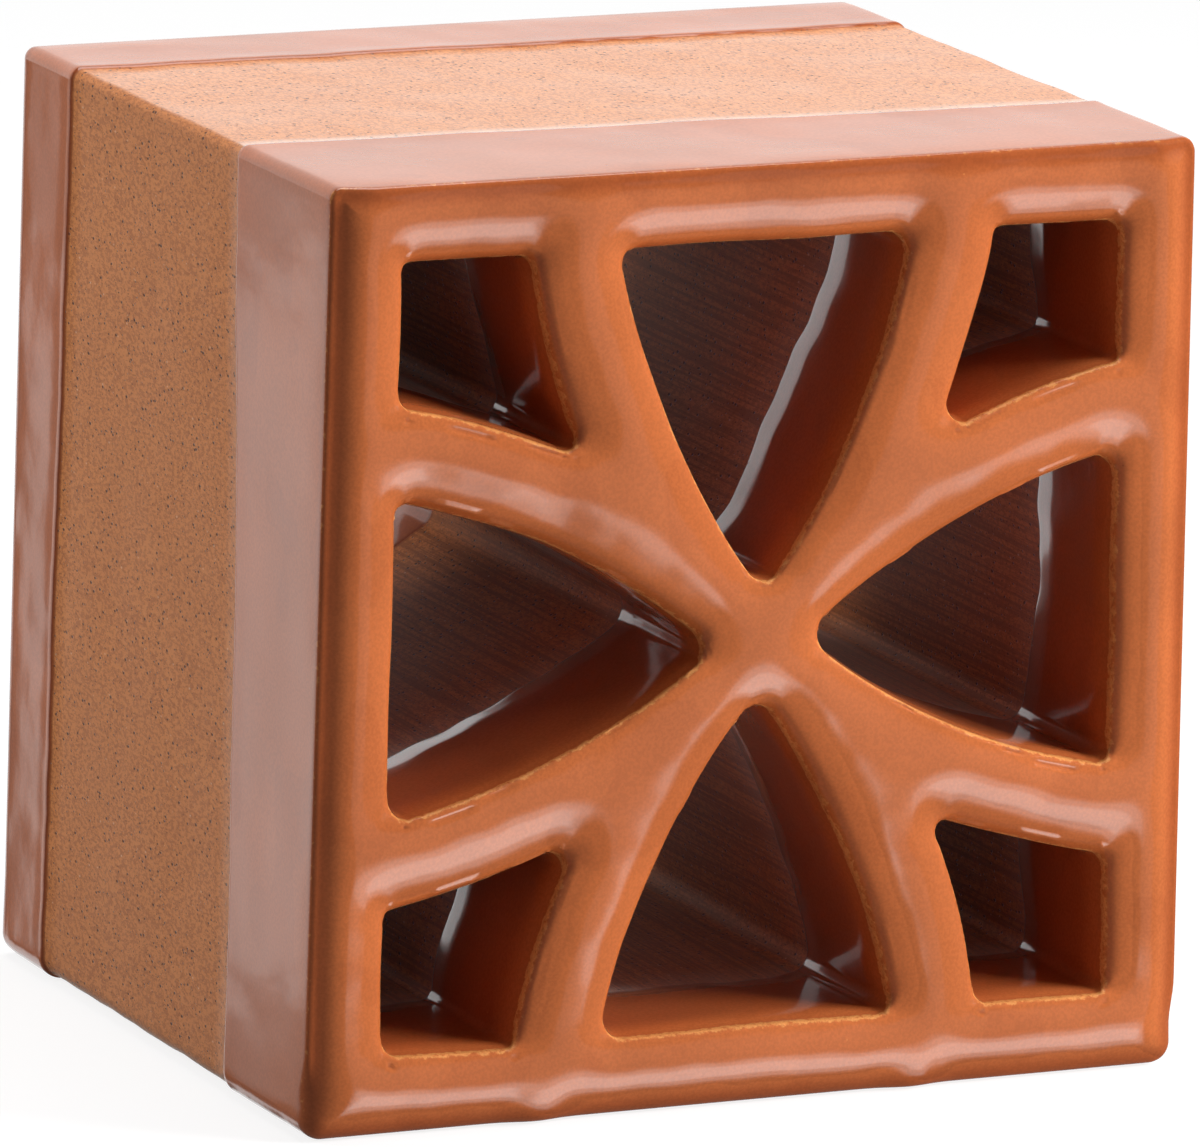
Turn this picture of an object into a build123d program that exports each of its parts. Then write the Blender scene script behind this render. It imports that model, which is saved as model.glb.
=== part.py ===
"""A pierced breeze block of glazed terracotta, fired as one piece.

The block stands upright. Its origin is the middle of the face it stands on, +Z is up, and the
face that is looked at points to -Y. The openings run straight through from front to back, as
the extruder's die leaves them. All lengths are in millimetres.
"""

import math
import os

from build123d import *

# Overall size
WIDTH = 150.0
HEIGHT = 150.0
DEPTH = 130.0

# Clay between the outer faces and the openings, and the clay of each diagonal rib
WALL = 13.0
RIB = 14.6

# Each petal opening: its width along the frame, how far the sides of its point would meet from
# the middle of the face, and how far each side swells out from a straight line
PETAL_BASE = 50.0
PETAL_TIP = 8.0
PETAL_SWELL = 3.6

# Rounding of the openings' corners, seen from the front
PETAL_BASE_ROUND = 2.5
PETAL_TIP_ROUND = 2.5
CORNER_ROUND = 2.0

# The cushioned face: how far it falls at the rim of an opening, over which width, and the
# radius that turns the slope into the crest of the rib
RIM_FALL = 2.0
RIM_SLOPE = 4.5
CREST_ROUND = 5.0

# Rounding of the block's outer edges: the crisp edges of the side faces and of the front's top,
# the foot of the front, and the soft edges of the back's top and foot
SIDE_EDGE_ROUND = 1.0
FRONT_TOP_ROUND = 1.2
FRONT_FOOT_ROUND = 3.0
BACK_EDGE_ROUND = 2.5

half_opening_x = WIDTH / 2 - WALL
half_opening_z = HEIGHT / 2 - WALL
front_face = Plane(origin=(0, -DEPTH / 2, HEIGHT / 2), x_dir=(1, 0, 0), z_dir=(0, -1, 0))


def petal_side(reach):
    """Radius and centre of the arc along the right side of a petal that points down.

    The petal's base lies across the local Y axis at this reach.
    """
    run = PETAL_BASE / 2
    rise = reach - PETAL_TIP
    chord = math.hypot(run, rise)
    radius = (chord**2 / 4 + PETAL_SWELL**2) / (2 * PETAL_SWELL)
    setback = radius - PETAL_SWELL
    centre_x = run / 2 - setback * rise / chord
    centre_y = PETAL_TIP + rise / 2 + setback * run / chord
    return radius, centre_x, centre_y


def petal(reach):
    """One petal: what two large discs have in common, cut off along the frame."""
    radius, centre_x, centre_y = petal_side(reach)
    with BuildSketch() as outline:
        Rectangle(2 * PETAL_BASE, reach, align=(Align.CENTER, Align.MIN))
        for side in (-1, 1):
            with Locations((side * centre_x, centre_y)):
                Circle(radius, mode=Mode.INTERSECT)
        fillet(outline.vertices().group_by(Axis.Y)[-1], PETAL_BASE_ROUND)
        fillet(outline.vertices().sort_by(Axis.Y)[0], PETAL_TIP_ROUND)
    return outline.sketch


def corner(reach_x, reach_y):
    """One corner opening: what is left of the frame's corner beside the ribs of two petals."""
    upper_radius, upper_x, upper_y = petal_side(reach_y)
    side_radius, side_x, side_y = petal_side(reach_x)
    with BuildSketch() as outline:
        Rectangle(reach_x, reach_y, align=(Align.MIN, Align.MIN))
        with Locations((upper_x, upper_y)):
            Circle(upper_radius + RIB, mode=Mode.SUBTRACT)
        with Locations((side_y, side_x)):
            Circle(side_radius + RIB, mode=Mode.SUBTRACT)
        fillet(outline.vertices(), CORNER_ROUND)
    return outline.sketch


def cushion_rims(block, face):
    """Let a pierced face fall away to the rims of its openings, and round the crests."""
    rims = ShapeList([edge for wire in face.inner_wires() for edge in wire.edges()])
    level = face.center().Y
    chamfer(rims, length=RIM_SLOPE, length2=RIM_FALL, reference=face)
    pierced = block.faces().filter_by_position(Axis.Y, level, level).sort_by(SortBy.AREA)[-1]
    crests = ShapeList([edge for wire in pierced.inner_wires() for edge in wire.edges()])
    fillet(crests, CREST_ROUND)


upright_petal = petal(half_opening_z)
sideways_petal = petal(half_opening_x)
corner_opening = corner(half_opening_x, half_opening_z)

with BuildPart() as breeze_block:
    with BuildSketch(Plane.YZ) as side_profile:
        Rectangle(DEPTH, HEIGHT, align=(Align.CENTER, Align.MIN))
        fillet(side_profile.vertices().group_by(Axis.X)[-1], BACK_EDGE_ROUND)
        fillet(side_profile.vertices().group_by(Axis.X)[0].sort_by(Axis.Y)[0], FRONT_FOOT_ROUND)
        fillet(side_profile.vertices().group_by(Axis.X)[0].sort_by(Axis.Y)[-1], FRONT_TOP_ROUND)
    extrude(amount=WIDTH / 2, both=True)

    side_faces = breeze_block.faces().filter_by(Axis.X)
    fillet(side_faces.edges(), SIDE_EDGE_ROUND)

    with BuildSketch(front_face):
        add(corner_opening)
        mirror(about=Plane.YZ)
        mirror(about=Plane.XZ)
        with PolarLocations(0, 2):
            add(upright_petal)
        with PolarLocations(0, 2, start_angle=90):
            add(sideways_petal)
    extrude(amount=-DEPTH, mode=Mode.SUBTRACT)

    cushion_rims(breeze_block, breeze_block.faces().sort_by(Axis.Y)[0])
    cushion_rims(breeze_block, breeze_block.faces().sort_by(Axis.Y)[-1])

breeze_block.part.label = "breeze_block"
os.makedirs("parts", exist_ok=True)
export_step(breeze_block.part, "parts/breeze_block.step")
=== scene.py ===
# %% [markdown]
# # A glazed breeze block
#
# The block is one piece of terracotta with eight openings through it. Its two ends were dipped
# in a caramel glaze, and a band of raw clay was left between them. This lesson builds its skin
# as one closed mesh around the packed model and paints it with two node materials.
#
# First the packed model is loaded. Its box is the size that everything below keeps to.

# %% Load the packed block
import math

import bpy
import numpy as np
from mathutils import Matrix, Vector, geometry, noise


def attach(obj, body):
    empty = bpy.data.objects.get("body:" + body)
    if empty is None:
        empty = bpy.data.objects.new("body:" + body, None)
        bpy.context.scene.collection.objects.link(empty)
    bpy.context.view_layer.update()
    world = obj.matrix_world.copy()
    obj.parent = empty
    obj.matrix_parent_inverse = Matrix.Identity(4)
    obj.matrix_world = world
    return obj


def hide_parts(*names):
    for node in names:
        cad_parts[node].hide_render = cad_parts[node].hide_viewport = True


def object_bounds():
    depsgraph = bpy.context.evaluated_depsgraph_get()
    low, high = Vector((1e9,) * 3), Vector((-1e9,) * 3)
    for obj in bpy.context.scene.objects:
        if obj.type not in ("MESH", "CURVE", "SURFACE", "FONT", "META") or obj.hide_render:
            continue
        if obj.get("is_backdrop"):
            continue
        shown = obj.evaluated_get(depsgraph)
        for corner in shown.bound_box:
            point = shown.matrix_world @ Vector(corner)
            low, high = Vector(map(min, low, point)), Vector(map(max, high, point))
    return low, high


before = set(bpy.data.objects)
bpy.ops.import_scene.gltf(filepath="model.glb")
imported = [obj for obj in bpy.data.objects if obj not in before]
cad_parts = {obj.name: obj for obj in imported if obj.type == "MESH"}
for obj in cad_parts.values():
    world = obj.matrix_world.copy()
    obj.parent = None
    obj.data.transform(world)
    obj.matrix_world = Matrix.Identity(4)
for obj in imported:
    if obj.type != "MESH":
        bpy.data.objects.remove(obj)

cad_low, cad_high = (list(corner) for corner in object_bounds())
MM = 0.001
WIDTH, DEPTH, HEIGHT = ((high - low) / MM for low, high in zip(cad_low, cad_high))
print("block, mm:", round(WIDTH, 2), round(DEPTH, 2), round(HEIGHT, 2))

# %% [markdown]
# ## The camera
#
# The block is seen from its left and from a little above, through a very long lens, so its edges
# stay nearly parallel. A camera can be placed by hand in the viewport, but here its angles are
# known, so it is put on a line through the aim point and then rolled by a degree.

# %% Place the camera
LENS_MM = 390.0
SENSOR_MM = 36.0
AIM_MM = (1.04, -0.85, 71.81)
CAMERA_DISTANCE_MM = 2067.1
AZIMUTH, ELEVATION, ROLL = (math.radians(angle) for angle in (-24.51, 12.546, 1.412))


def place_camera():
    """A camera on the line through the aim point, turned by the roll about that line."""
    data = bpy.data.cameras.new("camera")
    data.lens = LENS_MM
    data.sensor_width = SENSOR_MM
    camera = bpy.data.objects.new("camera", data)
    bpy.context.scene.collection.objects.link(camera)
    backwards = Vector((
        math.sin(AZIMUTH) * math.cos(ELEVATION),
        -math.cos(AZIMUTH) * math.cos(ELEVATION),
        math.sin(ELEVATION),
    ))
    camera.location = Vector(AIM_MM) * MM + backwards * CAMERA_DISTANCE_MM * MM
    facing = (-backwards).to_track_quat("-Z", "Y")
    camera.rotation_euler = (facing.to_matrix() @ Matrix.Rotation(ROLL, 3, "Z")).to_euler()
    bpy.context.scene.camera = camera
    return camera


camera = place_camera()
print("camera at, m:", [round(v, 3) for v in camera.location])

# %% [markdown]
# ## Lines and arcs
#
# The die that the clay came through gave every opening one outline from front to back. Each
# outline could be traced as a curve, but lines and arcs from a few measures stay true and are
# easy to change. Both are rows of points here, closer together where a line bends.

# %% Lines and arcs as points
LINE_STEP = 1.25
BEND_STEP = 0.4
QUARTER = math.pi / 2


def arc(centre, radius, start, stop, step):
    """Points along an arc, without its last point. Angles are in radians."""
    count = max(2, round(abs(stop - start) * radius / step))
    angles = start + (stop - start) * np.arange(count) / count
    return np.stack([centre[0] + radius * np.cos(angles), centre[1] + radius * np.sin(angles)], 1)


def line(start, stop, step):
    """Points along a straight line, without its last point."""
    start, stop = np.array(start, float), np.array(stop, float)
    count = max(1, round(np.linalg.norm(stop - start) / step))
    return start + (stop - start) * (np.arange(count) / count)[:, None]


def direction(start, stop):
    """The angle of the line from one point to another."""
    return math.atan2(stop[1] - start[1], stop[0] - start[0])


print("points on 10 mm of a line:", len(line((0, 0), (10, 0), LINE_STEP)))

# %% [markdown]
# ## A petal
#
# A petal opening points at the middle of the face. It is bounded by two large arcs, which swell
# outwards a little, and by the frame. All of its corners are rounded, as no die has sharp ones.

# %% The outline of a petal, in millimetres
WALL = 13.0
PETAL_BASE = 50.0
PETAL_TIP = 8.0
PETAL_SWELL = 3.6
PETAL_BASE_ROUND = 2.5
PETAL_TIP_ROUND = 3.2

reach_x = WIDTH / 2 - WALL
reach_z = HEIGHT / 2 - WALL


def petal_side(reach):
    """Radius and centre of the arc along the right side of a petal above the middle."""
    run, rise = PETAL_BASE / 2, reach - PETAL_TIP
    chord = math.hypot(run, rise)
    radius = (chord**2 / 4 + PETAL_SWELL**2) / (2 * PETAL_SWELL)
    setback = radius - PETAL_SWELL
    centre = (run / 2 - setback * rise / chord, PETAL_TIP + rise / 2 + setback * run / chord)
    return radius, centre


def petal_outline(reach):
    """The petal above the middle, counter-clockwise from its tip."""
    radius, centre = petal_side(reach)
    inner = radius - PETAL_TIP_ROUND
    tip = (0.0, centre[1] - math.sqrt(inner**2 - centre[0] ** 2))
    inner = radius - PETAL_BASE_ROUND
    base_y = reach - PETAL_BASE_ROUND
    base = (centre[0] + math.sqrt(inner**2 - (base_y - centre[1]) ** 2), base_y)
    from_tip, to_base = direction(centre, tip), direction(centre, base)
    right = np.vstack([
        arc(tip, PETAL_TIP_ROUND, -QUARTER, from_tip, BEND_STEP),
        arc(centre, radius, from_tip, to_base, LINE_STEP),
        arc(base, PETAL_BASE_ROUND, to_base, QUARTER, BEND_STEP),
        line((base[0], reach), (0, reach), LINE_STEP),
        [(0, reach)],
    ])
    left = right[::-1] * (-1, 1)
    return np.vstack([right, left[1:-1]])


print("radius of a petal's sides, mm:", round(petal_side(reach_z)[0], 1))

# %% [markdown]
# ## A corner opening
#
# A corner opening keeps a rib's width from the petals on both sides, so its arcs share their
# centres with the petals' sides. It is the same on both sides of its diagonal, so half of it is
# drawn and the other half is that one mirrored.

# %% The outline of a corner opening
RIB = 14.6
CORNER_ROUND = 2.0


def corner_outline(reach):
    """The opening in the upper right corner, clockwise from its inner point."""
    radius, centre = petal_side(reach)
    rib = radius + RIB
    near = rib + CORNER_ROUND
    total = centre[0] + centre[1]
    spread = centre[0] ** 2 + centre[1] ** 2 - near**2
    diagonal = (total + math.sqrt(total**2 - 2 * spread)) / 2
    point = (diagonal, diagonal)
    top_y = reach - CORNER_ROUND
    top = (centre[0] + math.sqrt(near**2 - (top_y - centre[1]) ** 2), top_y)
    outermost = (top_y, top_y)
    upper = np.vstack([
        arc(point, CORNER_ROUND, 2.5 * QUARTER, direction(point, centre), BEND_STEP),
        arc(centre, rib, direction(centre, point), direction(centre, top), LINE_STEP),
        arc(top, CORNER_ROUND, math.pi + direction(centre, top), QUARTER, BEND_STEP),
        line((top[0], reach), (top_y, reach), LINE_STEP),
        arc(outermost, CORNER_ROUND, QUARTER, QUARTER / 2, BEND_STEP),
        [np.array(outermost) + CORNER_ROUND * math.sqrt(0.5)],
    ])
    lower = upper[::-1, ::-1]
    return np.vstack([upper, lower[1:-1]])


inmost = corner_outline(reach_z).min()
print("a corner opening lies", inmost.round(2), "to", round(reach_z, 2), "mm from the middle lines")

# %% [markdown]
# ## All eight openings
#
# One petal and one corner opening are turned about the middle in quarter turns. All loops are
# put in the same order, so that later steps know on which side of a loop the clay is.

# %% Turn the two outlines
def turned(points, quarter_turns):
    """The points turned about the middle of the face."""
    for _ in range(quarter_turns):
        points = points[:, ::-1] * (-1, 1)
    return points


def counter_clockwise(points):
    """The loop in the order that keeps the opening on its left."""
    x, z = points.T
    area = np.sum(x * np.roll(z, -1) - np.roll(x, -1) * z) / 2
    return points if area > 0 else points[::-1]


openings = []
for quarter in range(4):
    reach = reach_z if quarter % 2 == 0 else reach_x
    openings.append(counter_clockwise(turned(petal_outline(reach), quarter)))
    openings.append(counter_clockwise(turned(corner_outline(reach_z), quarter)))
print("points round the openings:", [len(loop) for loop in openings])

# %% [markdown]
# ## The outline of the block
#
# The block is a square whose corners are rounder at the foot, where it stood while the glaze ran.
# The points are closer together round the corners, where the glaze catches the light.

# %% The outer loop
CORNERS = (((1, -1), 3.6), ((1, 1), 2.4), ((-1, 1), 2.0), ((-1, -1), 3.6))
OUTER_STEP = 1.6


def block_outline():
    """The square outline, counter-clockwise from the lower right corner."""
    bends, lasts = [], []
    for number, ((side_x, side_z), radius) in enumerate(CORNERS):
        centre = (side_x * (WIDTH / 2 - radius), side_z * (HEIGHT / 2 - radius))
        start = (number - 1) * QUARTER
        bends.append(arc(centre, radius, start, start + QUARTER, BEND_STEP))
        lasts.append(np.array(centre) + radius * np.array((-math.sin(start), math.cos(start))))
    pieces = []
    for bend, last, next_bend in zip(bends, lasts, bends[1:] + bends[:1]):
        pieces += [bend, line(last, next_bend[0], OUTER_STEP)]
    return np.vstack(pieces)


outer = block_outline()
loops = [outer] + openings
print("points round the block:", len(outer))

# %% [markdown]
# ## Measuring distances
#
# Most of the shape depends on how far a point is from the rim of an opening or from the edge of
# the block. Blender has nodes for that, but a few lines of array arithmetic do it for all points
# at once, and they also tell whether the rim lies above or below the point.

# %% Distances to a loop
TOUCHING = 0.05


def smooth(value, low, high):
    """0 below low, 1 above high, and an S-shaped change between."""
    share = np.clip((value - low) / (high - low), 0, 1)
    return share * share * (3 - 2 * share)


def distances(points, loop):
    """How far each point is from a closed line, and how much the way from it leads upwards."""
    best = np.full(len(points), np.inf)
    upwards = np.zeros(len(points))
    for start, step in zip(loop, np.roll(loop, -1, 0) - loop):
        length = np.hypot(*step)
        offset = points - start
        share = np.clip(offset @ step / length**2, 0, 1)
        away = offset - share[:, None] * step
        gap = np.hypot(*away.T)
        nearer = gap < best
        rise = np.where(gap > TOUCHING, away[:, 1] / np.maximum(gap, TOUCHING), -step[0] / length)
        best[nearer], upwards[nearer] = gap[nearer], rise[nearer]
    return best, upwards


def inside(points, loop):
    """Which points lie inside a closed line."""
    x, z = points.T
    result = np.zeros(len(points), bool)
    for (x0, z0), (x1, z1) in zip(loop, np.roll(loop, -1, 0)):
        if z0 == z1:
            continue
        crosses = (z0 > z) != (z1 > z)
        result ^= crosses & (x < (x1 - x0) * (z - z0) / (z1 - z0) + x0)
    return result


to_petal = distances(np.zeros((1, 2)), openings[0])[0][0]
print("from the middle of the face to the upper petal, mm:", round(float(to_petal), 2))

# %% [markdown]
# ## The cushioned face
#
# Wet clay sponged round the openings, and a thick glaze over it, make every rib a soft cushion:
# it is highest along its middle and rolls down into the openings. The face is a height over the
# flat pattern. Each opening lowers it by a slope that starts gently far away and grows steadily
# towards the rim. The wet glaze sagged before it was fired, so the slopes above the openings are
# long and full, and those below them are almost flat. The outer edge has slopes of its own, and
# the fullest is at the foot. Under two of the ribs a run of glaze came down and filled that
# slope.

# %% The slopes, each as its reach and its fall in millimetres
SIDE_SLOPE = (12.0, 2.3)
UPPER_SLOPE = (15.0, 3.3)
LOWER_SLOPE = (11.0, 1.0)
FULLY_TURNED = 0.95
EDGE_REACH = 11.0
SIDE_ZONE = (7.0, 2.0)
FOOT_ZONE = (14.0, 5.0)
FOOT_BEAD, BEAD_ZONE = 1.6, (8.0, 5.0)
RUN_PLACES = (-35.5, 29.0)
RUN_SHARE, RUN_WIDTH, RUN_START = 0.5, 3.8, 6.0
HUB_CALM, HUB_CALM_SIZE = 0.75, 18.0


def near_edge(outwards, half_size, zone):
    """0 before a zone along the edge, given by its two distances from the edge, 1 after it."""
    return smooth(outwards, half_size - zone[0], half_size - zone[1])


def by_place(points, measures):
    """A measure of the outer edge: one value along the top, one at the sides, one at the foot."""
    x, z = points.T
    at_side = near_edge(np.abs(x), WIDTH / 2, SIDE_ZONE)
    at_foot = near_edge(-z, HEIGHT / 2, FOOT_ZONE)
    value = measures["top"] + (measures["side"] - measures["top"]) * at_side
    return value + (measures["foot"] - value) * at_foot


def slope(distance, reach, fall):
    """A fall that grows steadily from nothing at this reach to its full depth at the rim."""
    return fall * np.clip(1 - distance / reach, 0, None) ** 3


def bell(offset_squared, size):
    """1 in the middle of a soft round hill of this size, and nearly 0 far from it."""
    return np.exp(-offset_squared / size**2)


print("an upper slope falls by, mm:", [round(float(slope(d, *UPPER_SLOPE)), 2) for d in (0, 5, 10)])

# %% [markdown]
# The slopes of all openings add up, so a narrow rib comes out lower than a wide one, as in soft
# clay. Past a rim the distance counts as negative, so the sum goes on smoothly over the rim.

# %% Add up the slopes
def slopes(points, edge_distance, falls):
    """The sum of all slopes at these points."""
    x, z = points.T
    bead = FOOT_BEAD * near_edge(-z, HEIGHT / 2, BEAD_ZONE)
    depth = by_place(points, falls)
    at_foot = smooth(-z, reach_z - RUN_START, reach_z)
    for place in RUN_PLACES:
        depth *= 1 - RUN_SHARE * bell((x - place) ** 2, RUN_WIDTH) * at_foot
    fall = slope(np.maximum(edge_distance, bead), EDGE_REACH, depth)
    calm = 1 - HUB_CALM * bell(np.sum(points**2, 1), HUB_CALM_SIZE)
    for loop in openings:
        distance, upwards = distances(points, loop)
        sign = np.where(inside(points, loop), -1, 1)
        distance, upwards = distance * sign, upwards * sign
        above = smooth(upwards, 0.0, FULLY_TURNED) * calm
        below = smooth(-upwards, 0.0, FULLY_TURNED)
        reach, depth = (
            side + (upper - side) * above + (lower - side) * below
            for side, upper, lower in zip(SIDE_SLOPE, UPPER_SLOPE, LOWER_SLOPE)
        )
        fall += slope(distance, reach, depth)
    return fall


sample = np.array([(0.0, 0.0), (0.0, reach_z + 2)])
print("slopes in the middle and above a petal, mm:",
      slopes(sample, distances(sample, outer)[0], dict(top=1, side=1, foot=1)).round(2))

# %% [markdown]
# ## Rims that roll over
#
# Liquid glaze has no creases. The sum of the slopes is therefore evened out: it is measured at
# the point and at four places around it, and the mean is taken. Then each rim gets its tight
# roll, a quarter of a circle, and the hub in the middle sinks a little.

# %% The whole fall of the face
RIM_TURNS, RIM_ROLLS = (-0.8, 0.0, 0.8), (0.6, 1.5, 2.2)
SOFTEN_MM = 1.7
SOFTEN_ANGLES = np.radians((45, 135, 225, 315))
CENTRE_SHARE = 0.25
HUB_DIP, HUB_SIZE = 0.35, 8.0


def roll_over(distance, radius):
    """The fall of a quarter circle that ends upright at the rim."""
    within = np.clip(radius - distance, 0, None)
    return radius - np.sqrt(np.clip(radius**2 - within**2, 0, None))


def face_fall(points, rims, edge_distance, falls, rolls):
    """How far the face lies behind its foremost plane at these points."""
    fall = slopes(points, edge_distance, falls) * CENTRE_SHARE
    for angle in SOFTEN_ANGLES:
        moved = points + SOFTEN_MM * np.array((math.cos(angle), math.sin(angle)))
        share = (1 - CENTRE_SHARE) / len(SOFTEN_ANGLES)
        fall += slopes(moved, distances(moved, outer)[0], falls) * share
    fall += roll_over(edge_distance, by_place(points, rolls))
    fall += HUB_DIP * bell(np.sum(points**2, 1), HUB_SIZE)
    for distance, upwards in rims:
        fall += roll_over(distance, np.interp(upwards, RIM_TURNS, RIM_ROLLS))
    return np.clip(fall, 0, None)


print("a roll at 0, 0.5 and 1 mm from the rim, mm:",
      roll_over(np.array((0, 0.5, 1)), RIM_ROLLS[1]).round(2))

# %% [markdown]
# ## Points on the face
#
# The face is flat with holes. Rings of points follow each rim closely, where the surface turns
# fast, and a plain honeycomb of points fills the rest. A regular grid would do too, but its rows
# would show as steps along the slanting ribs.

# %% Rings and honeycomb
RIM_RINGS = (0.06, 0.2, 0.42, 0.7, 1.05, 1.45, 1.9, 2.5)
BACK_RIM_RINGS = (0.25, 0.95, 2.4)
EDGE_RINGS = (0.1, 0.4, 0.9, 1.6, 2.5, 3.5)
HONEYCOMB = 1.25
BACK_HONEYCOMB = HONEYCOMB * 1.8
CLEARANCE = 0.6
ROW_HEIGHT = math.sqrt(0.75)


def outward(loop):
    """Unit normals of a counter-clockwise loop, pointing away from its inside."""
    along = np.roll(loop, -1, 0) - np.roll(loop, 1, 0)
    along /= np.linalg.norm(along, axis=1)[:, None]
    return np.stack([along[:, 1], -along[:, 0]], 1)


def honeycomb(spacing):
    """Staggered points over the whole face."""
    rows, columns = int(HEIGHT / (spacing * ROW_HEIGHT)), int(WIDTH / spacing)
    return np.array([
        ((column + 0.5 * (row % 2)) * spacing - WIDTH / 2, row * spacing * ROW_HEIGHT - HEIGHT / 2)
        for row in range(1, rows) for column in range(1, columns)
    ])


def face_points(rim_rings, spacing):
    """The points of the loops first, then those of the rings and the honeycomb."""
    points = list(loops)
    for ring in rim_rings:
        points += [loop + outward(loop) * ring for loop in openings]
    points += [outer - outward(outer) * ring for ring in EDGE_RINGS]
    grid = honeycomb(spacing)
    margin = spacing * CLEARANCE
    clear = np.min([distances(grid, loop)[0] for loop in openings], 0) > rim_rings[-1] + margin
    clear &= distances(grid, outer)[0] > EDGE_RINGS[-1] + margin
    clear &= ~np.any([inside(grid, loop) for loop in openings], 0)
    return np.vstack(points + [grid[clear]])


front_points = face_points(RIM_RINGS, HONEYCOMB)
back_points = face_points(BACK_RIM_RINGS, BACK_HONEYCOMB)
print("points of both faces:", len(front_points), len(back_points))

# %% [markdown]
# ## Triangles between the points
#
# Blender can join flat points by the roundest triangles there are, and it keeps the loops as
# edges when it is told to. The triangles that lie in an opening are thrown away.

# %% Triangulate
loop_starts = np.cumsum([0] + [len(loop) for loop in loops])
SAME_POINT_MM = 1e-6


def triangulate(points):
    """The triangles of a face, as three numbers of points each."""
    edges = [
        (start + k, start + (k + 1) % len(loop))
        for start, loop in zip(loop_starts, loops) for k in range(len(loop))
    ]
    found = geometry.delaunay_2d_cdt([Vector(p) for p in points], edges, [], 0, SAME_POINT_MM)
    original = np.array([sources[0] for sources in found[3]])
    triangles = original[np.array(found[2])]
    centres = points[triangles].mean(1)
    keep = ~np.any([inside(centres, loop) for loop in openings], 0)
    return triangles[keep & inside(centres, outer)]


front_triangles, back_triangles = triangulate(front_points), triangulate(back_points)
print("triangles of both faces:", len(front_triangles), len(back_triangles))

# %% [markdown]
# ## A hand in the pattern
#
# Clay leaves the die soft. The middle of the pattern sagged by about a millimetre and every line
# wanders a little. Both are one smooth push of the flat points, which fades out towards the
# outer edge, so the openings stay the same from front to back.

# %% Push the flat pattern
SAG_MM = (0.85, -1.5)
SAG_CURVE = 1.2
WANDER_MM = 0.28
WANDER_SIZE_MM = 21.0
STEADY_EDGE_MM = 9.0
EDGE_INSET_MM = 0.3
SEED_SHIFT = (7.31, 3.17, 5.71)
RIPPLE_GAIN = 1.6


def ripple(places, size, seed):
    """Smooth noise between about -1 and 1 at each place."""
    shift = Vector(tuple(seed * step for step in SEED_SHIFT))
    return np.array([noise.noise(Vector(place) / size + shift) for place in places]) * RIPPLE_GAIN


def pushed(points, edge_distance):
    """The flat points after the sag and the wander."""
    spread = np.clip(1 - np.hypot(*points.T) / (HEIGHT / 2 - WALL), 0, 1)
    sag = spread[:, None] ** SAG_CURVE * np.array(SAG_MM)
    flat = np.column_stack([points, np.zeros(len(points))])
    wander = np.column_stack([ripple(flat, WANDER_SIZE_MM, seed) for seed in (1, 2)])
    inner = smooth(edge_distance, 0, STEADY_EDGE_MM)[:, None]
    inset = 1 - (1 - inner) * EDGE_INSET_MM / (WIDTH / 2)
    return points * inset + (sag + wander * WANDER_MM) * inner


print("the middle moves by, mm:", pushed(np.zeros((1, 2)), np.array([HEIGHT / 2]))[0].round(2))

# %% [markdown]
# ## Both faces in relief
#
# The relief also gets the gentle unevenness of poured glaze: it is thicker in some places than
# in others, and that is what breaks its reflections into soft shapes. The back is made the same
# way with weaker edges.

# %% Raise both faces
FRONT_EDGE = {"top": 1.0, "side": 3.1, "foot": 3.6}
FRONT_ROLL = {"top": 1.0, "side": 0.8, "foot": 2.6}
BACK_EDGE = {"top": 0.1, "side": 0.3, "foot": 0.3}
BACK_ROLL = {"top": 2.6, "side": 2.6, "foot": 2.2}
FLOWS = ((0.28, 16, 3), (0.112, 6, 4))
FACES_APART = 40.0
FLOW_START_MM = 2.0


def shape_face(points, side):
    """A face in space, with each point's distance to the nearest rim and to the outer edge."""
    rims = [distances(points, loop) for loop in openings]
    edge = distances(points, outer)[0]
    x, z = pushed(points, edge).T
    measures = (FRONT_EDGE, FRONT_ROLL) if side < 0 else (BACK_EDGE, BACK_ROLL)
    fall = face_fall(points, rims, edge, *measures)
    places = np.column_stack([points, np.full(len(points), side * FACES_APART)])
    flow = sum(depth * (1 + ripple(places, size, seed)) / 2 for depth, size, seed in FLOWS)
    fall = fall + np.clip(flow, 0, None) * smooth(edge, 0, FLOW_START_MM)
    y = side * (DEPTH / 2 - fall)
    nearest = np.min([distance for distance, upwards in rims], 0)
    return np.column_stack([x, y, z + HEIGHT / 2]), nearest, edge


front, front_rim, front_edge = shape_face(front_points, -1)
back, back_rim, back_edge = shape_face(back_points, 1)
print("deepest falls of both faces, mm:",
      [round(float(DEPTH / 2 - np.abs(face[:, 1]).min()), 2) for face in (front, back)])

# %% [markdown]
# ## The dip lines
#
# The block was held by its middle and each end was lowered into the glaze. The glaze crept up
# to a wavy line and dried there with a thin raised lip. The line is a depth behind the front for
# every column of points round the block, and another one for each opening, where the glaze ran
# further in or less far.

# %% Depths of both lines
FRONT_LINE = ((0, 36.5), (0.5, 35.5), (1, 34.3), (1.5, 37.0),
              (2, 40.0), (2.5, 35.6), (3, 34.5), (4, 36.5))
BACK_LINE = ((0, 21.0), (1, 23.0), (2, 22.7), (2.45, 21.0), (2.55, 20.3), (3, 19.8), (4, 21.0))
FRONT_WAVES = ((0.45, 24, 5), (0.18, 5, 6))
BACK_WAVES = ((0.4, 20, 7), (0.15, 4, 8))
INNER_FRONT_MM, INNER_FRONT_SWING = 33.0, 4.5
INNER_BACK_MM, INNER_BACK_SWING = 19.0, 3.0
INNER_WAVES = 3
LOOPS_APART = 10.0


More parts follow.
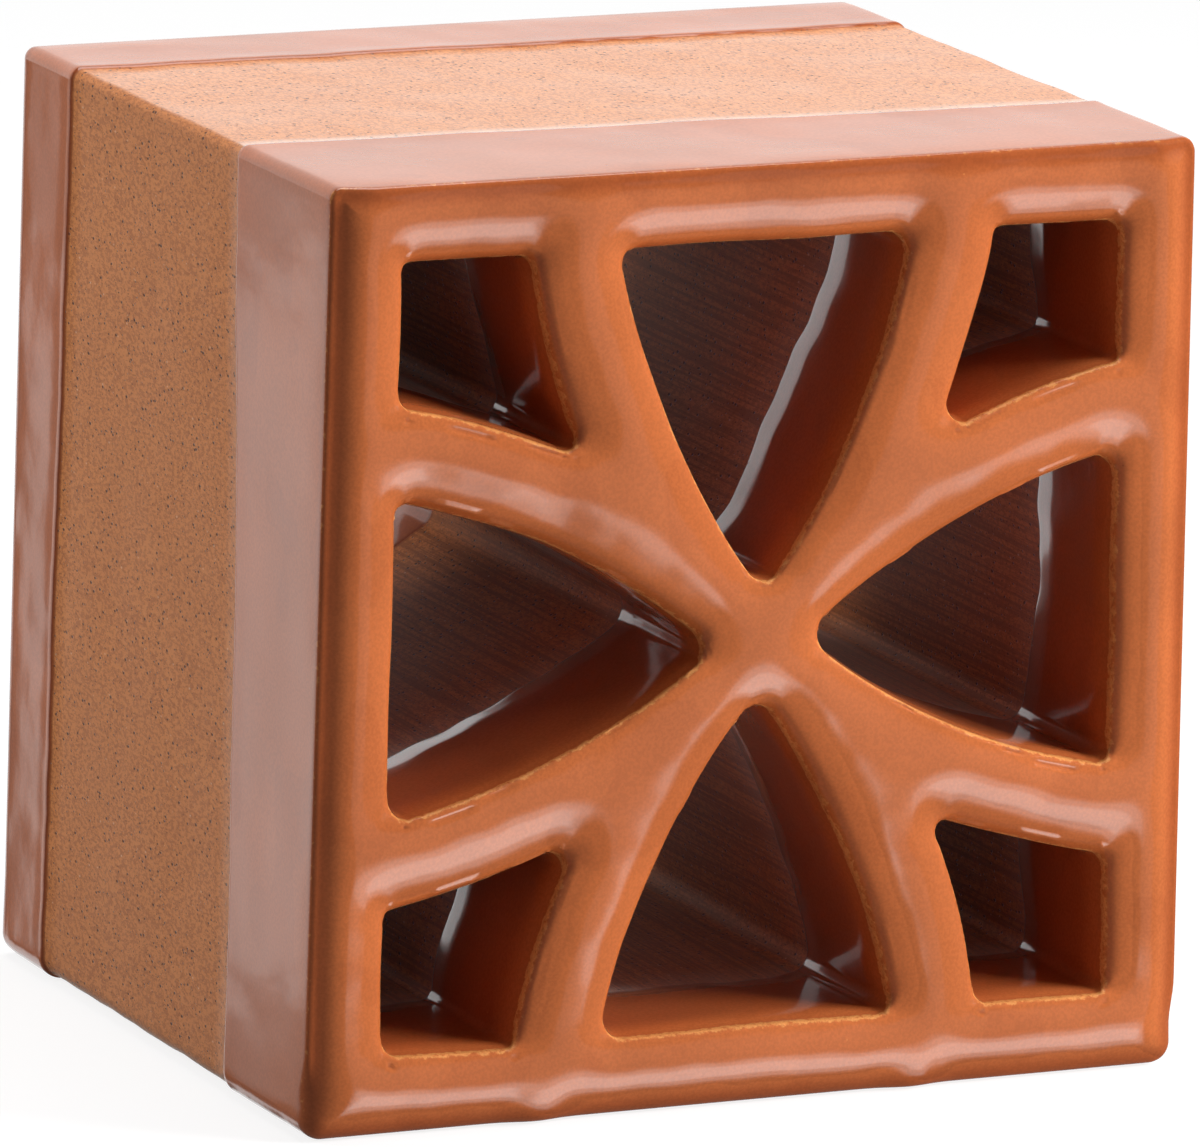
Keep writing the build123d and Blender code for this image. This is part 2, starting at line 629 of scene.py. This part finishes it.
def waves(places, parts):
    """The sum of ripples, each with its height, its size and its seed."""
    return sum(height * ripple(places, size, seed) for height, size, seed in parts)


def around(loop):
    """The share of the way round a loop at each of its points."""
    steps = np.hypot(*(np.roll(loop, -1, 0) - loop).T)
    return np.concatenate([[0], np.cumsum(steps)[:-1]]) / steps.sum()


def dip_lines(number, loop):
    """Depth of the front line and height of the back line above the back, for each column."""
    flat = np.column_stack([loop, np.full(len(loop), LOOPS_APART * number)])
    front_waves, back_waves = waves(flat, FRONT_WAVES), waves(flat, BACK_WAVES)
    if number == 0:
        side = around(loop) * 4
        return (np.interp(side, *zip(*FRONT_LINE)) + front_waves,
                np.interp(side, *zip(*BACK_LINE)) + back_waves)
    slow = ripple(flat, 30, 9)
    return (INNER_FRONT_MM + INNER_FRONT_SWING * slow + INNER_WAVES * front_waves,
            INNER_BACK_MM + INNER_BACK_SWING * slow + INNER_WAVES * back_waves)


outer_lines = [depths.mean().round(1) for depths in dip_lines(0, outer)]
print("mean depths of the dip lines round the block, mm:", outer_lines)

# %% [markdown]
# ## Rows of a wall
#
# Each wall joins a loop of the front to the same loop of the back by rows of points. The rows
# crowd together at the dip lines, where the skin steps from the lip of the glaze down to the raw
# clay. The lip could be left to a bump texture, but one that is real also shows in the outline
# of the block. It is given as distances from the line, with how deep the skin lies there.

# %% The rows between the two faces
OUTER_LIP = np.array((
    (2.6, 0.06), (1.4, 0.0), (0.8, 0.01), (0.4, 0.07), (0.16, 0.18), (0.0, 0.36), (-0.3, 0.45),
))
INNER_LIP = np.array((
    (7.2, -0.35), (6.2, -0.30), (4.2, -0.04), (2.1, 0.27), (0.7, 0.46), (0.0, 0.6), (-0.4, 0.66),
))
OUTER_ROWS = {"front": 8, "clay": 15, "back": 5}
INNER_ROWS = {"front": 6, "clay": 9, "back": 3}
END_MM, END_SHARES = 3.0, (0.2, 0.5, 1.0)


def between(start, stop, count):
    """Depths that divide the way between two depths, without both ends."""
    return [start + (stop - start) * k / count for k in range(1, count)]


def wall_rows(front_y, back_y, front_line, back_line, rows, lip):
    """The depths of the rows between the two loops of one wall."""
    near, far = front_y + END_MM, back_y - END_MM
    front_end, clay_start = front_line - lip[0, 0], front_line - lip[-1, 0]
    clay_end, back_start = back_line + lip[-1, 0], back_line + lip[0, 0]
    return np.array(
        [front_y + (near - front_y) * share for share in END_SHARES]
        + between(near, front_end, rows["front"])
        + [front_line - step for step in lip[:, 0]]
        + between(clay_start, clay_end, rows["clay"])
        + [back_line + step for step in lip[::-1, 0]]
        + between(back_start, far, rows["back"])
        + [back_y - (back_y - far) * share for share in END_SHARES[::-1]]
    )


print("rows of the outer wall:", len(wall_rows(-65, 65, -30, 45, OUTER_ROWS, OUTER_LIP)))

# %% [markdown]
# ## The walls
#
# The skin of a wall is sunk by the lip's step and by a slight wobble, so the clay lies a little
# deeper than the glaze. Every point also stores how far it is from the rim, from the outer edge
# and from the dip line, because the materials need these three distances.

# %% Join the faces by walls
FAR = 20.0
RIM_INSET_MM = 0.25
RAW_BELOW = -0.001
WALL_WAVE = (0.12, 22, 10)
CLAY_WOBBLE, GLAZE_WOBBLE, WOBBLE_SIZE, WOBBLE_SEED = 0.1, 0.05, 7, 11
vertices, faces, finishes = [], [], []
attributes = {"rim": [], "edge": [], "line": []}


def add_vertices(places, rim, edge, from_line):
    """Store points with their three distances, and give back the index of the first."""
    first = len(vertices)
    vertices.extend(map(tuple, places))
    for name, values in zip(attributes, (rim, edge, from_line)):
        attributes[name].extend(np.clip(np.broadcast_to(values, len(places)), -FAR, FAR))
    return first


def join(near, far, number, raw):
    """Two rows of one wall become a strip of faces, with the outside outwards."""
    near_next, far_next = np.roll(near, -1), np.roll(far, -1)
    for a, b, c, d, is_raw in zip(near, near_next, far_next, far, raw | np.roll(raw, -1)):
        faces.append((a, b, c, d) if number else (a, d, c, b))
        finishes.append(int(is_raw))


def sunk(number, loop, y, from_line, from_end):
    """How far the skin of a wall lies behind its loop at this row."""
    lip = (INNER_LIP if number else OUTER_LIP)[::-1]
    flat = np.column_stack([loop, y])
    height, size, seed = WALL_WAVE
    wobble = np.where(from_line < 0, CLAY_WOBBLE, GLAZE_WOBBLE)
    wobble = wobble * (1 + ripple(flat, WOBBLE_SIZE, WOBBLE_SEED))
    wobble = np.clip(height * (1 + ripple(flat, size, seed)) + wobble, 0, None)
    step = np.interp(from_line, lip[:, 0], lip[:, 1])
    inset = RIM_INSET_MM if number else EDGE_INSET_MM
    return (step + wobble - inset) * smooth(from_end, 0, END_MM)


def build_wall(number, loop):
    """One closed wall between the two loops with this number."""
    start, size = loop_starts[number], len(loop)
    columns = np.arange(size)
    front_y, back_y = front[start:start + size, 1], back[start:start + size, 1]
    front_depth, back_depth = dip_lines(number, loop)
    front_line, back_line = front_depth - DEPTH / 2, DEPTH / 2 - back_depth
    measures = (INNER_ROWS, INNER_LIP) if number else (OUTER_ROWS, OUTER_LIP)
    away = outward(loop) * (1 if number else -1)
    base = front[start:start + size][:, (0, 2)]
    previous, previous_line = start + columns, np.full(size, FAR)
    for y in wall_rows(front_y, back_y, front_line, back_line, *measures):
        from_line = np.maximum(front_line - y, y - back_line)
        from_end = np.minimum(y - front_y, back_y - y)
        x, z = (base + away * sunk(number, loop, y, from_line, from_end)[:, None]).T
        rim, edge = (-from_end, FAR) if number else (FAR, -from_end)
        current = add_vertices(np.column_stack([x, y, z]), rim, edge, from_line) + columns
        join(previous, current, number, np.minimum(previous_line, from_line) < RAW_BELOW)
        previous, previous_line = current, from_line
    join(previous, len(front) + start + columns, number, np.zeros(size, bool))


add_vertices(front, front_rim, front_edge, FAR)
add_vertices(back, back_rim, back_edge, FAR)
faces += [tuple(triangle) for triangle in front_triangles]
faces += [tuple(len(front) + k for k in triangle[::-1]) for triangle in back_triangles]
finishes += [0] * len(faces)
for number, loop in enumerate(loops):
    build_wall(number, loop)
triangle_count = sum(len(face) - 2 for face in faces)
print("skin:", len(vertices), "points,", triangle_count, "triangles")

# %% [markdown]
# ## One closed mesh
#
# The fired block is a little narrower at its top than at its foot, as the die was worn or the
# clay slumped. The skin is drawn in there last, and then it becomes a Blender mesh whose points
# carry their three distances for the materials.

# %% Make the mesh
TOP_DRAW_IN = 0.02


def make_block():
    """The mesh object with smooth faces and its distances as attributes."""
    places = np.array(vertices)
    places[:, 0] *= 1 - TOP_DRAW_IN * places[:, 2] / HEIGHT
    for axis, size in ((0, WIDTH), (1, DEPTH)):
        places[:, axis] = np.clip(places[:, axis], -size / 2, size / 2)
    places[:, 2] = np.clip(places[:, 2], 0, HEIGHT)
    mesh = bpy.data.meshes.new("block_skin")
    mesh.from_pydata((places * MM).tolist(), [], faces)
    mesh.polygons.foreach_set("use_smooth", np.ones(len(faces), bool))
    mesh.polygons.foreach_set("material_index", np.array(finishes, dtype=np.int32))
    for name, values in attributes.items():
        layer = mesh.attributes.new(name, "FLOAT", "POINT")
        layer.data.foreach_set("value", np.array(values, dtype=np.float32))
    mesh.update()
    block = bpy.data.objects.new("block_skin", mesh)
    bpy.context.scene.collection.objects.link(block)
    return block


block = make_block()
print("box of the skin, mm:", [round(v / MM, 2) for v in block.dimensions])

# %% [markdown]
# ## Arithmetic with nodes
#
# Materials are easier to read as sums than as a web of nodes. A small class wraps a socket, and
# Python's own operators add the math nodes.

# %% A number inside a material
class Value:
    """The output of a node, ready for sums."""

    def __init__(self, finish, socket):
        self.finish, self.socket = finish, socket

    def math(self, operation, *others):
        """A math node with this value first."""
        sockets = dict(enumerate((self,) + others))
        return self.finish.node("ShaderNodeMath", {"operation": operation}, sockets)[0]

    def reflected(self, operation, other):
        """A math node with this value second."""
        return self.finish.node("ShaderNodeMath", {"operation": operation}, {0: other, 1: self})[0]

    def __add__(self, other):
        return self.math("ADD", other)

    def __radd__(self, other):
        return self.reflected("ADD", other)

    def __sub__(self, other):
        return self.math("SUBTRACT", other)

    def __rsub__(self, other):
        return self.reflected("SUBTRACT", other)

    def __mul__(self, other):
        return self.math("MULTIPLY", other)

    def __rmul__(self, other):
        return self.reflected("MULTIPLY", other)

    def larger(self, other):
        """The larger of two values."""
        return self.math("MAXIMUM", other)

    def ramp(self, low, high, start=0.0, stop=1.0):
        """An S-shaped change from one value to another between two limits."""
        limits = {"From Min": low, "From Max": high, "To Min": start, "To Max": stop}
        settings = {"interpolation_type": "SMOOTHSTEP"}
        return self.finish.node("ShaderNodeMapRange", settings, {"Value": self, **limits})[0]

    def hill(self, centre, half_width):
        """1 at the centre, falling to 0 at half a width on both sides."""
        return (self - centre).math("ABSOLUTE").ramp(0.0, half_width, 1.0, 0.0)


print("a value knows:", [name for name in vars(Value) if not name.startswith("_")])

# %% [markdown]
# ## One method for all other nodes
#
# A finish is a material, or the world, and the nodes in it. Its `node` method takes the type of a
# node, its settings and the values or links of its sockets. The helpers below name the few
# patterns that both finishes need, with all sizes in millimetres.

# %% A finish and its nodes
SEEDS_APART = 100
DOT_EDGE = (-0.05, 0.03)


class Finish:
    """One material or world and the nodes in it."""

    def __init__(self, owner):
        self.owner = owner
        owner.use_nodes = True
        self.tree = owner.node_tree
        self.tree.nodes.clear()

    def node(self, kind, settings, sockets):
        """A node with its settings and inputs. Its outputs come back as values."""
        made = self.tree.nodes.new(kind)
        for name, setting in settings.items():
            setattr(made, name, setting)
        for name, content in sockets.items():
            if isinstance(content, Value):
                self.tree.links.new(content.socket, made.inputs[name])
            else:
                made.inputs[name].default_value = content
        return [Value(self, output) for output in made.outputs]

    def attribute(self, name):
        """One of the distances that the points of the mesh carry."""
        return self.node("ShaderNodeAttribute", {"attribute_name": name}, {})[2]

    def ray(self, kind):
        """1 for rays of this kind and 0 for all others."""
        answers = self.node("ShaderNodeLightPath", {}, {})
        return next(answer for answer in answers if answer.socket.name == kind)

    def place_mm(self, stretch=(1, 1, 1), shift=0.0):
        """Where the point lies on the block, in millimetres, squeezed along each axis and moved."""
        place = self.node("ShaderNodeTexCoord", {}, {})[3]
        factors = tuple(share / MM for share in stretch)
        sockets = {0: place, 1: factors, 2: (shift, shift, shift)}
        return self.node("ShaderNodeVectorMath", {"operation": "MULTIPLY_ADD"}, sockets)[0]

    def noise(self, size, detail=2.0, roughness=0.5, stretch=(1, 1, 1), seed=0):
        """Smooth noise around 0.5 with blobs of this size."""
        place = self.place_mm(stretch, seed * SEEDS_APART)
        sockets = {"Vector": place, "Scale": 1 / size, "Detail": detail, "Roughness": roughness}
        return self.node("ShaderNodeTexNoise", {}, sockets)[0]

    def dots(self, spacing, share, radius, stretch=(1, 1, 1)):
        """1 in scattered round dots: a share of the cells this far apart have one."""
        sockets = {"Vector": self.place_mm(stretch), "Scale": 1 / spacing}
        distance, colour = self.node("ShaderNodeTexVoronoi", {}, sockets)[:2]
        chance = self.node("ShaderNodeTexWhiteNoise", {}, {"Vector": colour})[0]
        chosen = chance.math("LESS_THAN", share)
        size = chance * (radius / spacing / share)
        return chosen * (distance - size).ramp(*DOT_EDGE, 1.0, 0.0)

    def blend(self, share, first, second):
        """From the first colour at 0 to the second at 1."""
        settings = {"data_type": "RGBA", "clamp_factor": True}
        return self.node("ShaderNodeMix", settings, {0: share, 6: rgba(first), 7: rgba(second)})[2]

    def shade(self, colour, factor):
        """The colour made lighter or darker by a number."""
        factors = self.node("ShaderNodeCombineXYZ", {}, {0: factor, 1: factor, 2: factor})[0]
        sockets = {0: colour, 1: factors}
        return self.node("ShaderNodeVectorMath", {"operation": "MULTIPLY"}, sockets)[0]

    def bump(self, height_mm):
        """A normal tilted by a relief whose height is given in millimetres."""
        return self.node("ShaderNodeBump", {}, {"Distance": MM, "Height": height_mm})[0]

    def close(self, sockets):
        """The surface shader and the output."""
        surface = self.node("ShaderNodeBsdfPrincipled", {}, sockets)[0]
        self.node("ShaderNodeOutputMaterial", {}, {"Surface": surface})
        return self.owner


def rgba(colour):
    """A plain colour gets its fourth number; a value from a node stays as it is."""
    return colour if isinstance(colour, Value) else (*colour, 1.0)


print("a finish knows:", [name for name in vars(Finish) if not name.startswith("_")])

# %% [markdown]
# ## The caramel glaze
#
# An iron glaze is glossy and deep where it lies thick, and it breaks to a light orange where it
# runs thin over a sharp rim. The distance from the rim decides how thin it is, and noise makes
# that line ragged. The glaze also carries pinholes, where gas left the clay, and fine light
# specks. Deep inside the openings and along the outer edges it is darkened as painted shade.
# It could be an image texture, but noise has no seams and any size.

# %% Mix the glaze
GLAZE = (0.50, 0.132, 0.038)
# The darker glaze colour below is painted shade inside the openings and along the outer edges, and
# it also colours the faint marks
GLAZE_SHADE_AND_MARK = (0.25, 0.045, 0.009)
GLAZE_THIN = (0.78, 0.35, 0.11)
GLAZE_LINE = (0.27, 0.06, 0.02)
PINHOLES = (4.0, 0.10, 0.22)
SPECKS = (2.6, 0.10, 0.16, (1, 1.1, 1))


def mix_glaze():
    """The glossy finish of both dipped ends."""
    finish = Finish(bpy.data.materials.new("caramel_glaze"))
    rim, edge, from_line = (finish.attribute(name) for name in ("rim", "edge", "line"))
    # Painted shade: darker deep inside the openings and along the outer edges; darker again at the
    # dip line
    within = rim.ramp(-9.0, -0.5, 0.42, 0.0)
    colour = finish.blend(within.larger(edge.hill(1.2, 3.2) * 0.6), GLAZE, GLAZE_SHADE_AND_MARK)
    colour = finish.blend(from_line.hill(0.25, 0.55) * 0.8, colour, GLAZE_LINE)
    # Thin over the rims, and here and there over the outer edges
    rim_break = (rim + finish.noise(1.6, 3, 0.75) * 1.8 - 0.9).hill(0.05, 0.42)
    edge_break = edge.hill(0.1, 0.40) * finish.noise(0.9, 1, seed=3).ramp(0.58, 0.68) * 0.5
    colour = finish.blend(rim_break.larger(edge_break) * 0.75, colour, GLAZE_THIN)
    # Faint marks with a sharp outline, pinholes and specks
    marks = finish.noise(15, 1, 0.4, (1, 1, 0.7), seed=6)
    colour = finish.blend(marks.ramp(0.58, 0.60) * 0.12, colour, GLAZE_SHADE_AND_MARK)
    pinholes = finish.dots(*PINHOLES)
    colour = finish.blend(pinholes * 0.8, colour, GLAZE_LINE)
    colour = finish.blend(finish.dots(*SPECKS) * 0.35, colour, GLAZE_THIN)
    # Broad patches and a fine mottle
    patches, mottle = finish.noise(22, 1), finish.noise(0.5, 1, seed=8)
    shades = patches.ramp(0.3, 0.7, 0.94, 1.06) * mottle.ramp(0.3, 0.7, 0.93, 1.07)
    return finish.close({
        "Base Color": finish.shade(colour, shades),
        "Roughness": rim_break.ramp(0.0, 1.0, 0.12, 0.25),
        "IOR": 1.55,
        "Normal": finish.bump(finish.noise(3.5, 1) * 0.02 - pinholes * 0.05),
    })


glaze = mix_glaze()
print("glaze:", len(glaze.node_tree.nodes), "nodes")

# %% [markdown]
# ## The raw clay
#
# Between the dipped ends the terracotta is bare: matt, sandy, full of small pores and a few light
# grains. Inside the openings the die dragged along the clay and left fine lines from front to
# back, so a second noise is stretched along the depth there. A little sheen stands for the dusty
# surface, which looks paler where it is seen at a low angle.

# %% Mix the clay
CLAY = (0.67, 0.240, 0.066)
CLAY_DARK = (0.46, 0.145, 0.038)
CLAY_DEEP = (0.34, 0.105, 0.030)
CLAY_PORE = (0.06, 0.018, 0.007)
CLAY_GRAIN = (0.80, 0.52, 0.34)
PORES = (0.85, 0.8, 0.25, (1, 0.6, 1))
FINE_PORES = (0.55, 0.8, 0.15, (1, 0.6, 1))
GRAINS = (1.2, 0.35, 0.20, (1.1, 0.6, 1))


def mix_clay():
    """The matt finish of the band and of the openings' inside."""
    finish = Finish(bpy.data.materials.new("raw_terracotta"))
    rim, from_line = finish.attribute("rim"), finish.attribute("line")
    # Patches from the fire, and sand
    patches = finish.noise(18, 1, 0.6).ramp(0.35, 0.75, 0.0, 0.14)
    colour = finish.blend(patches, CLAY, CLAY_DARK)
    sand = finish.noise(0.6, 2, 0.8, (1, 0.5, 1), seed=2)
    colour = finish.blend(sand.ramp(0.42, 0.60, 0.0, 0.9), colour, CLAY_DARK)
    # Drag lines, inside the openings only
    within = rim.ramp(0.0, 10.0, 1.0, 0.0)
    drag = finish.noise(0.8, 3, 0.7, (1, 0.012, 1))
    colour = finish.blend(within * drag.ramp(0.44, 0.60) * 0.75, colour, CLAY_DEEP)
    # Pores, grains, and a dark line along the lip of the glaze
    pores = finish.dots(*PORES)
    all_pores = pores.larger(finish.dots(*FINE_PORES) * 0.7)
    colour = finish.blend(all_pores * 0.85, colour, CLAY_PORE)
    colour = finish.blend(finish.dots(*GRAINS) * 0.6, colour, CLAY_GRAIN)
    colour = finish.blend(from_line.hill(-0.1, 0.5) * 0.6, colour, GLAZE_LINE)
    return finish.close({
        "Base Color": colour,
        "Roughness": 0.65,
        "IOR": 1.38,
        "Sheen Weight": 0.55,
        "Sheen Roughness": 0.3,
        "Sheen Tint": (0.92, 1.0, 1.0, 1.0),
        "Normal": finish.bump(sand * 0.05 - pores * 0.10),
    })


clay = mix_clay()
print("clay:", len(clay.node_tree.nodes), "nodes")

# %% [markdown]
# ## Both finishes on the block
#
# Each face of the mesh already knows which of the two finishes it has: 0 is the glaze and 1 the
# clay. The skin then rides on the packed block and takes its place in the picture.

# %% Put the finishes on
block.data.materials.append(glaze)
block.data.materials.append(clay)
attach(block, "root")
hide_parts("breeze_block")
print("materials:", [material.name for material in block.data.materials])

# %% [markdown]
# ## Lamps and cards
#
# A photographer lights glossy things in two ways: with soft lamps, and with white cards that only
# show as reflections. Both are area lamps here. A lamp that is not mirrored lights the matt
# colours, and a card that lights nothing but is mirrored lays a highlight on the glaze, so each
# can be set without changing the other.

# %% A lamp and a card
MIDDLE = Vector((0, 0, 0.075))


def lamp(name, place, size, watts, aim=MIDDLE):
    """A soft rectangular lamp that shines at the aim point and is not mirrored."""
    data = bpy.data.lights.new(name, "AREA")
    data.shape = "RECTANGLE"
    data.size, data.size_y = size
    data.energy = watts
    made = bpy.data.objects.new(name, data)
    made.location = place
    made.rotation_euler = (Vector(aim) - Vector(place)).to_track_quat("-Z", "Y").to_euler()
    made.visible_camera = False
    made.visible_glossy = False
    bpy.context.scene.collection.objects.link(made)
    return made


def card(name, place, size, brightness, aim=MIDDLE):
    """A card that is only mirrored. White is brightness 1."""
    made = lamp(name, place, size, brightness * math.pi * size[0] * size[1], aim)
    made.visible_glossy = True
    made.visible_diffuse = False


print("all lamps aim at, m:", [round(v, 3) for v in MIDDLE])

# %% [markdown]
# ## Four lamps
#
# A broad lamp above, a stronger one on the right, and weak ones low in front and on the left
# behind light the block. Only the upper one is mirrored, as a bright line on every edge that
# faces up.

# %% Place the lamps
above = lamp("lamp_above", (0.10, 0.20, 1.25), (0.80, 0.80), 8.8)
above.visible_glossy = True
lamp("lamp_right", (0.88, -0.64, 0.50), (0.5, 0.5), 20.5)
lamp("lamp_low", (0.22, -0.30, -0.10), (0.25, 0.25), 0.9, (0, -0.065, 0.03))
lamp("lamp_left", (-0.80, 0.45, 0.48), (0.5, 0.5), 4.6)
print("lamps:", len(bpy.data.lights))

# %% [markdown]
# ## The cards
#
# The top mirrors a white card behind the block and a lower one under it. The left side mirrors
# three cards one above the other, the middle one the brightest, so the reflection fades at both
# ends. A dim card in front and three in one place below it, each smaller and brighter than the
# last, lay the long soft highlights on the slopes that lean down.

# %% Place the cards
FRONT_MIDDLE = Vector((0, -0.065, 0.075))
LOW_DIRECTION = Vector((0.41, -0.70, -0.58))
LOW_CARDS = ((0.80, (0.50, 0.48), 0.5), (0.77, (0.40, 0.38), 1.8), (0.74, (0.26, 0.20), 2.4))
LEFT_CARDS = (
    ("card_left", -0.060, 0.150, 1.1),
    ("card_left_low", -0.150, 0.030, 0.4),
    ("card_left_high", 0.045, 0.060, 0.55),
)
LEFT_RISE = 0.125

card("card_behind", (0.5, 1.6, 1.15), (5.0, 2.4), 0.95, (0.5, 0, 1.15))
card("card_behind_low", (0.4, 1.6, -0.45), (1.8, 0.8), 1.0, (0.4, 0, -0.45))
for name, level, height, brightness in LEFT_CARDS:
    aim = (-0.285, -0.093, level + LEFT_RISE)
    card(name, (-0.523, 0.443, level), (0.55, height), brightness, aim)
card("card_front", (0.37, -0.86, -0.12), (0.42, 0.5), 0.35)
for number, (distance, size, brightness) in enumerate(LOW_CARDS):
    place = FRONT_MIDDLE + LOW_DIRECTION * distance
    card(f"card_low_{number}", place, size, brightness, FRONT_MIDDLE)
print("lamps and cards:", len(bpy.data.lights))

# %% [markdown]
# ## The room
#
# The world answers each kind of ray on its own: it is white to the camera, dim in reflections and
# dim as a lamp. So the picture gets its white background without more light on the block, and
# the insides of the openings stay dark.

# %% Fill the world
ROOM_DIFFUSE = 0.13
ROOM_MIRRORED = 0.14
WHITE = (1.0, 1.0, 1.0, 1.0)

room = Finish(bpy.data.worlds.new("white_room"))
dim = room.ray("Is Glossy Ray") * (ROOM_MIRRORED - ROOM_DIFFUSE) + ROOM_DIFFUSE
strength = dim + room.ray("Is Camera Ray") * (1 - dim)
background = room.node("ShaderNodeBackground", {}, {"Color": WHITE, "Strength": strength})[0]
room.node("ShaderNodeOutputWorld", {}, {"Surface": background})
bpy.context.scene.world = room.owner
print("world:", len(room.tree.nodes), "nodes")

# %% [markdown]
# ## The floor
#
# The floor is dark grey as a matt surface, so it throws little light back up at the block, and
# it glows for the camera up to nearly white. The block's shadow still falls on the grey part, so
# the picture shows a pale shadow on a white floor.

# %% Lay the floor
FLOOR_HALF = 4.0
FLOOR_GLOW = 0.82
FLOOR_GREY = (0.25, 0.25, 0.25, 1.0)


def make_floor():
    """A wide floor that glows pale for the camera; reflections pass through it."""
    corners = [(-1, -1, 0), (1, -1, 0), (1, 1, 0), (-1, 1, 0)]
    mesh = bpy.data.meshes.new("floor")
    mesh.from_pydata([Vector(corner) * FLOOR_HALF for corner in corners], [], [(0, 1, 2, 3)])
    floor = bpy.data.objects.new("floor", mesh)
    bpy.context.scene.collection.objects.link(floor)
    finish = Finish(bpy.data.materials.new("white_floor"))
    seen = finish.ray("Is Camera Ray").larger(finish.ray("Is Glossy Ray"))
    mesh.materials.append(finish.close({
        "Base Color": FLOOR_GREY,
        "Roughness": 1.0,
        "Specular IOR Level": 0.0,
        "Emission Strength": 1.0,
        "Emission Color": finish.shade((1.0, 1.0, 1.0), seen * FLOOR_GLOW),
    }))
    floor.visible_glossy = False
    floor.visible_shadow = False
    floor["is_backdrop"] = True
    return floor


floor = make_floor()
bpy.context.scene.view_settings.view_transform = "Standard"
print("floor, m:", [round(v, 1) for v in floor.dimensions])

# %% [markdown]
# ## The size
#
# The skin was clipped to the size of the packed block when its mesh was made.
